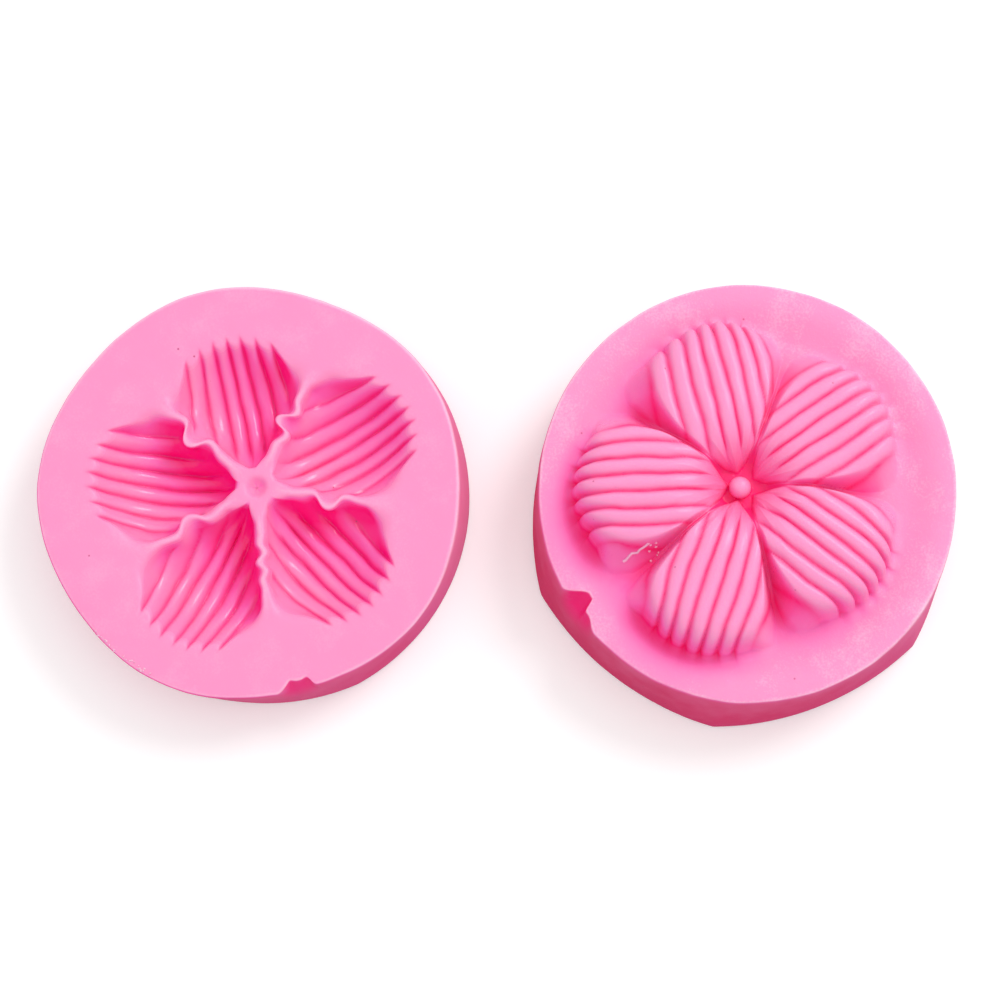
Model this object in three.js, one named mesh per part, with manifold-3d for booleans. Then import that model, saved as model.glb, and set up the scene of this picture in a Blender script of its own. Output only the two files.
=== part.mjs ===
// Flower veiner: a pair of cast silicone discs that press ribs into sugar paste petals.
// The cavity half holds a sunk five-petal flower and the raised half the same flower as a relief.
// Both lie face up on the table, side by side, with the cavity half on the -X side.
import * as THREE from "three";
import { mergeVertices } from "three/addons/utils/BufferGeometryUtils.js";
import Module from "manifold-3d";

const wasm = await Module();
wasm.setup();

// Sizes are in millimetres and angles in degrees, anticlockwise from +X as seen from above.

// The flower as it lies in the cavity half. A web is the thin wall between two petals.
const webTurn = 65.8; // direction of the first web
const webOffsets = [0, 1, 1.5, -6, -2]; // each web's lean away from even spacing
const reachOffsets = [-2.2, 0, 1.5, -0.3, 0.4]; // each petal's own length, more or less than petalReach
const petalReach = 27.2; // flower's centre to the end of a sunk petal's middle
const ribbedHalfWidth = 9.7; // a petal's middle to the edge of its outermost rib, at its widest
const tipSweep = 3.5; // how much shorter the outermost ribs are than the middle one
const tipNarrowing = 1.2; // how far a petal's edge draws in again at its tip
const ribCount = 7; // ribs on a raised petal, and grooves in a sunk one
const hubRadius = 2.6; // flat ring at the flower's centre

// The raised petals
const reliefHeight = 8;
const reliefTrims = [2, 1.2, 1.1, 0.8, 0]; // how much longer each raised petal is than its sunk one
const reliefLeans = [0, 2.6, 2.6, 0, -3.3]; // how far the tip of its middle rib lies to the side
const sideRun = 2.7; // a raised petal's plain side, from its outermost rib to its foot
const ribDepth = 1.1; // crown of a rib to the groove beside it
const fingertip = 1.3; // how far a rib's rounded end passes the grooves beside it
const creaseWidth = 0.6; // gap between two petals where they meet
const beadRadius = 1.9; // bead at the flower's centre
const beadHeight = 3.2; // top of the bead above the base of the petals
const dishDepth = 1.2; // how far the petals' base lies below the rim

// The sunk petals
const pasteGap = 0.5; // room for the paste between the two halves
const faceGap = 1.5; // left between the two faces when the pair is closed
const grooveDepth = 0.9; // crown of a band to the groove beside it
const pointRun = 1.2; // left past the bands' ends for the pointed ends of the grooves
const webWidth = 1.2; // top of a web near the centre
const lipWidth = 1.8; // rounded lip between a petal's wall and the face
const lipSoftness = 0.5; // how softly a petal's end runs out into the face
const hubDrop = 0.5; // how far the centre lies below the face

// The discs
const faceLand = 8.1; // width of the plain face outside the flower
const flowerShift = 1; // each flower sits off its disc's centre, towards the other half
const flowerSetback = 0.6; // and towards the back
const floorThickness = 6; // silicone left under the sunk petals
const raisedThickness = 15; // raised half from its back to its rim
const discGap = 12.3; // between the two faces where they lie on the table
const rimRound = 0.8; // rounded edges of the discs
const cavitySetback = 0.5; // the cavity half lies this much further back than the raised half
const cornerReach = 1.2; // soft corners of the hand-poured backs stand out by this much

// The outlines are poured by hand: slow waves round each face, soft corners round each back, and a
// back that lies off its face by its lean along X and along Y.
const cavityOutline = { waves: 5, waveTurn: 34, swell: 0.4, corners: 7, cornerTurn: 297, lean: [1, 1.6] };
const raisedOutline = { waves: 2, waveTurn: 80, swell: 0.5, corners: 6, cornerTurn: 262, lean: [-0.5, -1] };

// The pair turned face to face: a direction d on the raised half meets closingTurn - d on the cavity half
const closingTurn = 135.8;

// A nick in each rim, left by the casting
const nickWidth = 5;
const nickDrop = 6; // how far a nick runs down the wall
const cavityNickAngle = 288;
const cavityNickDepth = 2;
const raisedNickAngle = 214;
const raisedNickDepth = 4;

// What follows from those sizes
const faceRadius = petalReach + faceLand;
const cavityDepth = reliefHeight - faceGap + pasteGap;
const cavityThickness = floorThickness + cavityDepth;
const radians = Math.PI / 180;

// Curves of the petals. A bulge falls from 1 to 0; its two powers say how full and how round it is.
const innerCurve = [1.9, 0.7]; // from the crest back to the hub, on both halves
const reliefSide = [6, 0.6]; // from a raised petal's middle rib to its foot
const reliefTip = [5, 0.6]; // from a raised petal's crest to its tip
const bowlTip = 2.6; // how late a sunk petal rises from its deepest place to its tip
const bowlSide = 3; // how late a sunk petal grows shallow towards its sides
const bowlShallow = 0.62; // how much shallower its sides are
const veinSharpness = 2.4; // how narrow the grooves are
const crest = 0.42; // place of the highest point, from the hub to the tip
const ribFadeLength = 10; // ribs grow to their full depth over this distance from the hub
const ribParallel = 0.5; // ribs fan out with the petal at 0 and keep side by side at 1
const narrowingShare = 0.4; // last part of a petal's length, where its edge draws in
const softness = 8; // how tightly a petal's edge turns from its fan to its full width

const clamp = (value) => Math.min(1, Math.max(0, value));
const ease = (value) => clamp(value) ** 2 * (3 - 2 * clamp(value));
const bulge = (value, [power, round]) => clamp(1 - Math.abs(value) ** power) ** round;

function makeFlower(webs, reaches, leans) {
  return webs.map((web, index) => {
    const next = index + 1 < webs.length ? webs[index + 1] : webs[0] + 360;
    const halfAngle = (next - web) / 2;
    return { axis: web + halfAngle, halfAngle, reach: reaches[index], lean: leans[index] };
  });
}

// Half the petal's width at a distance from the flower's centre, kept clear of the web or crease.
function fullHalfWidth(half, petal, along) {
  const fan = along * Math.tan(petal.halfAngle * radians) - half.gap / 2;
  return (fan ** -softness + half.width ** -softness) ** (-1 / softness);
}

// Counts ribs from 0 to ribCount across the ribbed part of a petal, at its tip.
const ribAtTip = (half, u) => (((u * half.width) / ribbedHalfWidth + 1) / 2) * ribCount;

// 1 in the middle of a groove, 0 half a rib away from it and on the plain sides.
function nearGroove(half, rib) {
  const [first, last] = half.grooves;
  const place = Math.min(last, Math.max(first, Math.round(rib - first) + first));
  return clamp(1 - 2 * Math.abs(rib - place));
}

// A place on a petal, in the petal's own frame. u runs from -1 to 1 across the petal, and s from 0 at the
// hub to 1 at the tip. share is the place along the petal's own length, and groove the depth of the vein.
function petalPlace(half, petal, u, s) {
  const tipRib = ribAtTip(half, u);
  const end = petal.reach - tipSweep * ((2 * tipRib) / ribCount - 1) ** 2 - half.scallop(tipRib);
  const along = half.hub + s * (end + half.run - half.hub);
  const full = fullHalfWidth(half, petal, along);
  const edge = full - tipNarrowing * ease(1 - (1 - along / petal.reach) / narrowingShare);
  const rib = (tipRib - ribCount / 2) * (full / half.width) ** ribParallel + ribCount / 2;
  const groove = nearGroove(half, rib) ** veinSharpness * clamp((along - half.hub) / ribFadeLength);
  return {
    along,
    across: u * edge + petal.lean * s * (1 - u * u),
    share: (along - half.hub) / (end - half.hub),
    groove,
  };
}

// The raised half: ribs with round crowns and round fingertips, in petals parted by deep creases.
const raisedHalf = {
  outline: raisedOutline,
  thickness: raisedThickness,
  shift: -flowerShift,
  base: raisedThickness - dishDepth,
  dish: dishDepth,
  hub: hubRadius,
  gap: creaseWidth,
  width: ribbedHalfWidth + sideRun,
  grooves: [0, ribCount],
  sideSteps: [0.4, 0.75, 1],
  lipSteps: [],
  run: 0,
  scallop(rib) {
    return fingertip * nearGroove(this, rib) ** 2;
  },
  petalLevel(u, { share, groove }) {
    const inner = bulge((crest - share) / crest, innerCurve);
    const outer = bulge((share - crest) / (1 - crest), reliefTip);
    const dome = reliefHeight * bulge(u, reliefSide) * (share < crest ? inner : outer);
    return this.base + dome - (ribDepth * groove * dome) / (dome + ribDepth);
  },
  gapLevel() {
    return this.base;
  },
};

// The cavity half: petals sunk in the face, with gently crowned bands between grooves that end in points.
const cavityHalf = {
  outline: cavityOutline,
  thickness: cavityThickness,
  shift: flowerShift,
  base: cavityThickness,
  dish: 0,
  hub: hubRadius + pasteGap,
  gap: webWidth,
  width: ribbedHalfWidth + pasteGap,
  grooves: [0.5, ribCount - 0.5],
  sideSteps: [1],
  lipSteps: [0.35, 0.75],
  run: pointRun,
  scallop: () => 0,
  depth(u, { share, groove }) {
    const inner = bulge((crest - share) / crest, innerCurve);
    const outer = 1 - ((share - crest) / (1 - crest)) ** bowlTip;
    const across = 1 - bowlShallow * Math.abs(u) ** bowlSide;
    const sunk = cavityDepth * across * (share < crest ? inner : outer) + grooveDepth * groove;
    return (sunk + Math.hypot(sunk, lipSoftness * clamp(share / crest))) / 2;
  },
  webDrop: (share) => hubDrop * clamp(1 - share) ** 2,
  petalLevel(u, place) {
    return this.base - this.webDrop(place.share) - this.depth(u, place);
  },
  gapLevel(edge, lip) {
    return this.base - this.webDrop(edge.share) - this.depth(1, edge) * (1 - lip) ** 2;
  },
};

// The columns of the surface, anticlockwise: each petal's own, then those of the gap on either side.
const samplesPerRib = 4;

function columnsOf(half, flower) {
  const steps = ribCount * samplesPerRib;
  const ribbed = ribbedHalfWidth / half.width;
  const ribs = Array.from({ length: steps + 1 }, (_, i) => ribbed * ((2 * i) / steps - 1));
  const side = half.sideSteps.map((share) => ribbed + share * (1 - ribbed));
  const across = [...side.map((u) => -u).reverse(), ...ribs, ...side];
  return flower.flatMap((petal) => [
    { petal, side: -1, lip: 1, crestLine: true },
    ...half.lipSteps.map((lip) => ({ petal, side: -1, lip })).reverse(),
    ...across.map((u) => ({ petal, u })),
    ...half.lipSteps.map((lip) => ({ petal, side: 1, lip })),
  ]);
}

function petalPoint(half, { petal, u }, s) {
  const place = petalPlace(half, petal, u, s);
  return [place.along, place.across, half.petalLevel(u, place)];
}

// A point beside a petal, on its lip or on the crest line of the web or crease.
function gapPoint(half, { petal, side, lip, crestLine }, s) {
  const edge = petalPlace(half, petal, side, s);
  const cosine = Math.cos(petal.halfAngle * radians);
  const sine = side * Math.sin(petal.halfAngle * radians);
  const line = half.hub / cosine + s * (petalReach - half.hub / cosine);
  const away = [line * cosine - edge.along, line * sine - edge.across];
  const width = Math.hypot(...away);
  const share = crestLine ? 1 : (lip * Math.min(lipWidth, width)) / width;
  return [edge.along + share * away[0], edge.across + share * away[1], half.gapLevel(edge, lip)];
}

// A surface point in the flower's frame, for one column at one row s.
function surfacePoint(half, column, s) {
  const makePoint = column.side ? gapPoint : petalPoint;
  const [along, across, level] = makePoint(half, column, s);
  const turn = column.petal.axis * radians;
  return [
    along * Math.cos(turn) - across * Math.sin(turn),
    along * Math.sin(turn) + across * Math.cos(turn),
    level,
  ];
}

// The disc's outline at a height: the face's slow waves give way to the back's soft corners.
function outlinePoint({ outline, thickness, shift }, angle, height, inset) {
  const down = 1 - height / thickness;
  const period = 360 / outline.corners;
  const place = (((angle - outline.cornerTurn) % period) + period) % period;
  const corner = ((2 * place) / period - 1) ** 2;
  const wave = outline.swell * Math.cos(outline.waves * (angle - outline.waveTurn) * radians);
  const radius = faceRadius - inset + (1 - down) * wave + down * cornerReach * corner;
  return [
    radius * Math.cos(angle * radians) - shift + down * outline.lean[0],
    radius * Math.sin(angle * radians) - flowerSetback + down * outline.lean[1],
    height,
  ];
}

// Rows of the flower, then of the face outside it, then of the wall
const flowerRows = [0, 0.04, 0.1, 0.18, 0.27, 0.36, 0.46, 0.56, 0.66, 0.76, 0.85, 0.92, 0.97, 1];
const dishFoot = 0.1; // foot and top of the dish's slope, from the longest petal to the rim
const dishTop = 0.75;

function discRings(half, flower) {
  const columns = columnsOf(half, flower);
  const rings = flowerRows.map((s) => columns.map((column) => surfacePoint(half, column, s)));
  const tips = rings[rings.length - 1];
  const angles = tips.map(([x, y]) => Math.atan2(y, x) / radians);
  const outline = (height, inset) => angles.map((angle) => outlinePoint(half, angle, height, inset));
  if (half.dish > 0) {
    const longest = Math.max(...flower.map((petal) => petal.reach));
    const room = faceRadius - flowerShift - rimRound - longest;
    const level = (share, height) =>
      outline(half.thickness, (1 - share) * room + rimRound).map(([x, y]) => [x, y, height]);
    rings.push(level(dishFoot, half.base), level(dishTop, half.thickness));
  }
  const turn = rimRound * (1 - Math.SQRT1_2);
  rings.push(outline(half.thickness, rimRound), outline(half.thickness - turn, turn));
  rings.push(outline(half.thickness - rimRound, 0), outline(rimRound, 0), outline(0, rimRound));
  return rings;
}

// Closed solid from rings of equal length: the first closes on the flower's centre, the last on the back's.
function solidFromRings(rings, { outline, shift }) {
  const count = rings[0].length;
  const points = rings.flat();
  const topCentre = points.push([0, 0, rings[0][0][2]]) - 1;
  const backCentre = points.push([outline.lean[0] - shift, outline.lean[1] - flowerSetback, 0]) - 1;
  const faces = [];
  for (let j = 0; j < count; j++) {
    const next = (j + 1) % count;
    faces.push(topCentre, j, next);
    for (let i = 0; i + 1 < rings.length; i++) {
      const inner = i * count;
      const outer = inner + count;
      faces.push(inner + j, outer + j, outer + next);
      faces.push(inner + j, outer + next, inner + next);
    }
    const last = (rings.length - 1) * count;
    faces.push(backCentre, last + next, last + j);
  }
  const geometry = new THREE.BufferGeometry();
  geometry.setAttribute("position", new THREE.Float32BufferAttribute(points.flat(), 3));
  geometry.setIndex(faces);
  return toSolid(geometry);
}

// Joins and cuts

const mergeDistance = 1e-4;

function toSolid(geometry) {
  const bare = geometry.clone();
  bare.deleteAttribute("normal");
  bare.deleteAttribute("uv");
  const merged = mergeVertices(bare, mergeDistance);
  const vertProperties = new Float32Array(merged.attributes.position.array);
  const triVerts = new Uint32Array(merged.index.array);
  return new wasm.Manifold(new wasm.Mesh({ numProp: 3, vertProperties, triVerts }));
}

function toGeometry(solid) {
  const mesh = solid.getMesh();
  const geometry = new THREE.BufferGeometry();
  geometry.setAttribute("position", new THREE.BufferAttribute(mesh.vertProperties, 3));
  geometry.setIndex(new THREE.BufferAttribute(mesh.triVerts, 1));
  geometry.computeVertexNormals();
  return geometry;
}

const ballSteps = [20, 12]; // round and from pole to pole

function ball(radius, height) {
  return toSolid(new THREE.SphereGeometry(radius, ...ballSteps).rotateX(Math.PI / 2).translate(0, 0, height));
}

// A scoop out of the rim where it meets the face, widest at the face and fading down the wall.
function nickCutter(half, angle, depth) {
  const scoop = new THREE.SphereGeometry(1, ...ballSteps);
  scoop.scale(depth, nickWidth / 2, nickDrop).rotateZ(angle * radians);
  return toSolid(scoop.translate(...outlinePoint(half, angle, half.thickness, 0)));
}

// The two castings

const webs = webOffsets.map((offset, index) => webTurn + (index * 360) / webOffsets.length + offset);
const reaches = reachOffsets.map((offset) => petalReach + offset);

function makeCavityHalf() {
  const flower = makeFlower(webs, reaches, webs.map(() => 0));
  const body = solidFromRings(discRings(cavityHalf, flower), cavityHalf);
  const dimpleRadius = beadRadius + pasteGap / 2;
  const dimple = ball(dimpleRadius, cavityHalf.base - hubDrop + dimpleRadius / 3);
  const nick = nickCutter(cavityHalf, cavityNickAngle, cavityNickDepth);
  return toGeometry(body.subtract(dimple).subtract(nick));
}

// Turning the flower over runs its webs the other way round, and each petal keeps its own values.
function makeRaisedHalf() {
  const turned = (values) => [...values.slice(0, -1).reverse(), values[values.length - 1]];
  const lengths = reaches.map((reach, index) => reach + reliefTrims[index]);
  const turnedWebs = webs.map((web) => closingTurn - web).reverse();
  const flower = makeFlower(turnedWebs, turned(lengths), turned(reliefLeans));
  const body = solidFromRings(discRings(raisedHalf, flower), raisedHalf);
  const bead = ball(beadRadius, raisedHalf.base + beadHeight - beadRadius);
  const nick = nickCutter(raisedHalf, raisedNickAngle, raisedNickDepth);
  return toGeometry(body.add(bead).subtract(nick));
}

const silicone = { roughness: 0.45, metalness: 0 };
const facePink = new THREE.MeshStandardMaterial({ color: 0xfd9bcc, ...silicone });
const rimPink = new THREE.MeshStandardMaterial({ color: 0xfaaed4, ...silicone });

const cavity = new THREE.Mesh(makeCavityHalf(), facePink);
cavity.name = "cavity_half";
cavity.position.set(cavityHalf.shift - (faceRadius + discGap / 2), cavitySetback, 0);

const raised = new THREE.Mesh(makeRaisedHalf(), rimPink);
raised.name = "raised_half";
raised.position.x = raisedHalf.shift + (faceRadius + discGap / 2);

// The pair stands on z = 0, with the middle of its box over the origin.
const pair = new THREE.Group();
pair.add(cavity, raised);
const middle = new THREE.Box3().setFromObject(pair).getCenter(new THREE.Vector3());
pair.children.forEach((half) => half.position.sub(new THREE.Vector3(middle.x, middle.y, 0)));

export default pair;
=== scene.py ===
# %% [markdown]
# # A flower veiner: two silicone discs with one flower between them
# A veiner is a pair of soft moulds. Sugar paste is pressed between a sunk flower and a raised one,
# and comes out as petals with veins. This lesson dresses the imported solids: it builds both discs again as
# fine meshes with Geometry Nodes, gives them a cast silicone finish, and lights them on a white table.

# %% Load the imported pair
import math
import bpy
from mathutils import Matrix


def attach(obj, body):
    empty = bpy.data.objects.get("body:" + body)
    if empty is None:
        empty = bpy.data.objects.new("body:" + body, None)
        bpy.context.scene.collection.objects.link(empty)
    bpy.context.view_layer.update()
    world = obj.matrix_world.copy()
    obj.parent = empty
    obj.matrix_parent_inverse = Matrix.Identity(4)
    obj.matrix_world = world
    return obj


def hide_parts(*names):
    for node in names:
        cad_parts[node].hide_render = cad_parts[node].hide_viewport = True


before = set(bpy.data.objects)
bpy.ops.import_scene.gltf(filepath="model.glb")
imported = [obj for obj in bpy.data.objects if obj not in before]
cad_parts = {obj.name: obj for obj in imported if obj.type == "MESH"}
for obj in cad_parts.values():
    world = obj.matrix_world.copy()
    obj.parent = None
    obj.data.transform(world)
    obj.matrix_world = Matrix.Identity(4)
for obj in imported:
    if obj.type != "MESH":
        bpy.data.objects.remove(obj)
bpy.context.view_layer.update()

from types import SimpleNamespace

import bpy
from mathutils import Vector

# %% [markdown]
# ## The sizes of the pair
# Sizes are in millimetres and degrees. The flower is described once, as it lies in the cavity half: five
# webs (the thin walls between petals) and five petal lengths. Turned over, the same webs run the other way
# round, which gives the raised flower. The sizes start from those of the solids. Some then moved by a
# millimetre or two, because a fine mesh can follow the real pair more closely than a solid needs to.

# %% Sizes of the flower and the discs
RIB_COUNT = 7
PETAL_REACH = 27.2  # from the flower's centre to the end of a petal
TIP_SWEEP = 3.5  # how much shorter the outermost ribs are than the middle one
TIP_NARROWING = 1.2  # how far a petal's edge draws in again at its tip
NARROWING_SHARE = 0.4  # of a petal's length, the part that draws in
EDGE_SOFTNESS = 8  # how tightly a petal's edge turns from fanning out to running straight
RIB_PARALLEL = 0.88  # 1 keeps the ribs parallel, 0 draws them all together where a petal is narrow
RIB_FADE_LENGTH = 5  # distance from the hub over which the grooves come in
CREST = 0.42  # share of its length where a petal is highest or deepest
INNER_CURVE = (2.1, 0.6)  # how full and how round a petal is from its hub to its crest
FACE_RADIUS = 35.3
FLOWER_SETBACK = 0.6  # how far behind the middle of its disc each flower lies
RIM_ROUND = 0.8
FACE_EDGE_ROUND = 0.5

WEBS = [65.8, 138.8, 211.3, 275.8, 351.8]
SUNK_REACHES = [25.0, 27.2, 28.7, 26.9, 27.6]
RAISED_TRIMS = [3.2, 0.8, 0.5, 1.3, 0.9]  # how much longer each raised petal is than its sunk one
RAISED_LEANS = [0, 0.6, 0, 0, -2]  # how far the tip of each raised petal lies to the side
CLOSING_TURN = 135.8  # the sum of the directions of a web and of its copy on the flower turned over


def petals_of(webs, reaches, leans):
    """The values of each petal, from the webs on its two sides."""
    following = webs[1:] + [webs[0] + 360]
    return [
        {"Axis": (web + after) / 2, "Half Angle": (after - web) / 2, "Reach": reach, "Lean": lean}
        for web, after, reach, lean in zip(webs, following, reaches, leans)
    ]


def turned_over(values):
    """A list that starts at the first web, as it reads on the flower turned over."""
    return values[-2::-1] + values[-1:]


raised_webs = [CLOSING_TURN - web for web in reversed(WEBS)]
raised_reaches = turned_over([reach + trim for reach, trim in zip(SUNK_REACHES, RAISED_TRIMS)])
sunk_petals = petals_of(WEBS, SUNK_REACHES, [0] * len(WEBS))
raised_petals = petals_of(raised_webs, raised_reaches, turned_over(RAISED_LEANS))
print("sunk petals point to", [round(p["Axis"]) for p in sunk_petals])
print("raised petals point to", [round(p["Axis"] % 360) for p in raised_petals])

# %% [markdown]
# ## Arithmetic on fields
# In Geometry Nodes a field is a value that differs from point to point. A formula drawn as a chain of Math
# nodes is hard to read back, so a small class stands for a field: adding or multiplying two fields places
# the node. The same class works in a material, where a value differs from one shaded spot to the next.

# %% Fields


def feed(tree, value, socket):
    """Links a field or a socket to an input, or sets the input to a plain value."""
    value = getattr(value, "socket", value)
    if isinstance(value, bpy.types.NodeSocket):
        tree.links.new(value, socket)
    else:
        socket.default_value = value


def place(tree, kind, inputs=None, **settings):
    """A new node with its settings and inputs."""
    node = tree.nodes.new(kind)
    for name, value in settings.items():
        setattr(node, name, value)
    for name, value in (inputs or {}).items():
        feed(tree, value, node.inputs[name])
    return node


class Field:
    """A value that varies over a mesh or a surface."""

    def __init__(self, socket):
        self.socket = socket
        self.tree = socket.id_data

    def math(self, operation, *others, clamped=False):
        node = place(self.tree, "ShaderNodeMath", operation=operation, use_clamp=clamped)
        for socket, value in zip(node.inputs, (self, *others)):
            feed(self.tree, value, socket)
        return Field(node.outputs[0])

    def at_least(self, low):
        return self.math("MAXIMUM", low)

    def at_most(self, high):
        return self.math("MINIMUM", high)

    def __add__(self, other):
        return self.math("ADD", other)

    def __sub__(self, other):
        return self.math("SUBTRACT", other)

    def __mul__(self, other):
        return self.math("MULTIPLY", other)

    def __truediv__(self, other):
        return self.math("DIVIDE", other)

    def __pow__(self, power):
        return self.math("POWER", power)

    def __abs__(self):
        return self.math("ABSOLUTE")

    def __neg__(self):
        return self * -1

    def __rsub__(self, other):
        return -self + other

    __radd__ = __add__
    __rmul__ = __mul__


print("fields can be added, subtracted, multiplied, divided and raised to a power")

# %% [markdown]
# A few formulas come back all the time: a ramp between two values, a blend, a bell curve, a rounded bulge.

# %% Formulas on fields
TINY = 1e-4  # keeps a division from being by zero


def clamp(field):
    """The field, kept between 0 and 1."""
    return field.math("ADD", 0, clamped=True)


def span(field, start, end, smooth=False):
    """0 at start and 1 at end, level outside, with soft ends if smooth."""
    kind = "SMOOTHSTEP" if smooth else "LINEAR"
    inputs = {"Value": field, "From Min": start, "From Max": end}
    node = place(field.tree, "ShaderNodeMapRange", inputs, interpolation_type=kind, clamp=True)
    return Field(node.outputs["Result"])


def mix(first, second, share):
    """The first value where the share is 0, the second where it is 1."""
    return first + (second - first) * share


def hypot(first, second):
    """The length of a step with these two parts."""
    return (first * first + second * second).math("SQRT")


def bell(field, width):
    """A bell curve: 1 at 0, and about a third at the width."""
    return ((field / width) ** 2 * -1).math("EXPONENT")


def bulge(field, power, roundness):
    """Falls from 1 at 0 to 0 at 1. The powers say how full and how round it is."""
    return clamp(1 - abs(field) ** power) ** roundness


def degrees(field, function):
    """The sine, cosine or tangent of an angle in degrees."""
    return (field * (math.pi / 180)).math(function)


def turned(along, across, axis):
    """X and Y of a point in a petal's own frame."""
    cosine, sine = degrees(axis, "COSINE"), degrees(axis, "SINE")
    return along * cosine - across * sine, along * sine + across * cosine


print("formulas:", ", ".join(f.__name__ for f in (clamp, span, mix, hypot, bell, bulge, degrees, turned)))

# %% [markdown]
# The last helpers are about nodes: trees with named inputs, vectors, noise, and nodes that take a geometry
# and hand it on. Values that the finish needs later are stored in the mesh as named attributes.

# %% Trees, vectors and geometry
GEOMETRY = "NodeSocketGeometry"


def new_tree(name, numbers):
    """A Geometry Nodes tree with a geometry output, its number inputs by name, and its output node."""
    tree = bpy.data.node_groups.new(name, "GeometryNodeTree")
    for label, value in numbers.items():
        socket = tree.interface.new_socket(label, in_out="INPUT", socket_type="NodeSocketFloat")
        socket.default_value = value
    tree.interface.new_socket("Geometry", in_out="OUTPUT", socket_type=GEOMETRY)
    entry = tree.nodes.new("NodeGroupInput")
    values = {label: Field(entry.outputs[label]) for label in numbers}
    return tree, values, tree.nodes.new("NodeGroupOutput")


def position_of(tree):
    """The place of each point."""
    return tree.nodes.new("GeometryNodeInputPosition").outputs["Position"]


def parts_of(tree, vector):
    """The three parts of a vector, as fields."""
    node = place(tree, "ShaderNodeSeparateXYZ", {"Vector": vector})
    return [Field(node.outputs[axis]) for axis in "XYZ"]


def vector_of(tree, **parts):
    """A vector from its parts X, Y and Z."""
    return place(tree, "ShaderNodeCombineXYZ", parts).outputs["Vector"]


def vector_math(tree, operation, first, second):
    """Arithmetic on vectors. To scale, the second value is a number."""
    node = place(tree, "ShaderNodeVectorMath", operation=operation)
    feed(tree, first, node.inputs[0])
    feed(tree, second, node.inputs["Scale" if operation == "SCALE" else 1])
    return node.outputs["Vector"]


def noise(tree, vector, scale, seed, detail=2.0):
    """Noise around 0, from about -0.5 to 0.5, as a field, and its colour output."""
    inputs = {"Vector": vector, "W": seed, "Scale": scale, "Detail": detail}
    node = place(tree, "ShaderNodeTexNoise", inputs, noise_dimensions="4D")
    return Field(node.outputs["Fac"]) - 0.5, node.outputs["Color"]


def through(tree, geometry, kind, inputs=None, output="Geometry", **settings):
    """Sends a geometry through a new node."""
    node = place(tree, kind, inputs, **settings)
    feed(tree, geometry, node.inputs[0])
    return node.outputs[output]


def keep(tree, geometry, name, value):
    """Stores a value at each point of a geometry, under a name that the finish reads."""
    inputs = {"Name": name, "Value": value}
    settings = {"data_type": "FLOAT", "domain": "POINT"}
    return through(tree, geometry, "GeometryNodeStoreNamedAttribute", inputs, **settings)


def join(tree, geometries):
    """One geometry out of several."""
    node = tree.nodes.new("GeometryNodeJoinGeometry")
    for geometry in geometries:
        tree.links.new(geometry, node.inputs["Geometry"])
    return node.outputs["Geometry"]


print("helpers:", ", ".join(f.__name__ for f in (parts_of, vector_of, noise, through, keep, join)))

# %% [markdown]
# ## One petal's sector
# Each disc is five sectors that run from web to web. A sector starts as a flat grid. Its columns cross the
# petal and its rows go outwards: hub, petal, plain face, rim, wall and back. Moving every point of the grid
# by formula keeps the mesh lines along the ribs, so narrow grooves stay crisp with few faces. A subdivided
# plane with a displacement would need many more faces for the same grooves.

# %% Rows and columns
COLUMNS = 180
HUB_ROWS, PETAL_ROWS, FACE_ROWS, EDGE_ROWS = 10, 70, 8, 20
ROWS = HUB_ROWS + PETAL_ROWS + FACE_ROWS + EDGE_ROWS
ROW_CROWDING = 0.3  # how much closer the rows lie at both ends of a petal


def grid_fields(tree, petal_share):
    """The sector's grid, and where each point lies across and along it."""
    inputs = {"Size X": 1, "Size Y": 1, "Vertices X": COLUMNS + 1, "Vertices Y": ROWS + 1}
    grid = place(tree, "GeometryNodeMeshGrid", inputs)
    x, y, _ = parts_of(tree, position_of(tree))
    column = x * -2
    row = (y + 0.5) * ROWS
    side = column.math("SIGN")
    starts = [0, HUB_ROWS, HUB_ROWS + PETAL_ROWS, HUB_ROWS + PETAL_ROWS + FACE_ROWS, ROWS]
    hub, s, face, edge = [span(row, start, end) for start, end in zip(starts, starts[1:])]
    s = s - (s * (2 * math.pi)).math("SINE") * (ROW_CROWDING / (2 * math.pi))
    return SimpleNamespace(
        grid=grid.outputs["Mesh"],
        column=column,
        side=side,
        u=span(abs(column), 0, petal_share) * side,
        beside=span(abs(column), petal_share, 1),
        in_hub=row.math("LESS_THAN", HUB_ROWS - 0.5),
        hub=hub,
        s=s,
        face=face,
        edge=edge,
    )


print("a sector has", COLUMNS, "columns and", ROWS, "rows")

# %% [markdown]
# Ribs are counted across a petal. On the raised half the grooves lie between the ribs, at whole numbers. In
# the bowls a groove takes up each rib, so they lie half a rib further on. A groove has the shape of the space
# between two round tubes, side by side. The lines of painted shade in the grooves are much narrower.

# %% The grooves of a petal
TUBE_SHARE = 0.94  # how much of a half round shows of each rib


def near_groove(half, rib):
    """1 in the middle of a groove and 0 half a rib away. The plain sides lie as low as the grooves."""
    first, last = half.grooves
    inside = rib.at_least(first).at_most(last) - first
    return 1 - abs(inside - inside.math("ROUND")) * 2


def groove_line(half, rib, skipped=0):
    """Like near_groove, but free of lines on the plain sides and at the skipped grooves next to them."""
    first, last = half.grooves[0] + skipped, half.grooves[1] - skipped
    nearest = ((rib - first).math("ROUND") + first).at_least(first).at_most(last)
    return clamp(1 - abs(rib - nearest) * 2)


def tube_groove(near):
    """The depth between two round tubes, side by side: 1 where they meet, 0 on their crowns."""
    return (1 - (1 - near * near * TUBE_SHARE).math("SQRT")) * (1 / (1 - math.sqrt(1 - TUBE_SHARE)))


print("grooves between", RIB_COUNT, "ribs")

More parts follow.
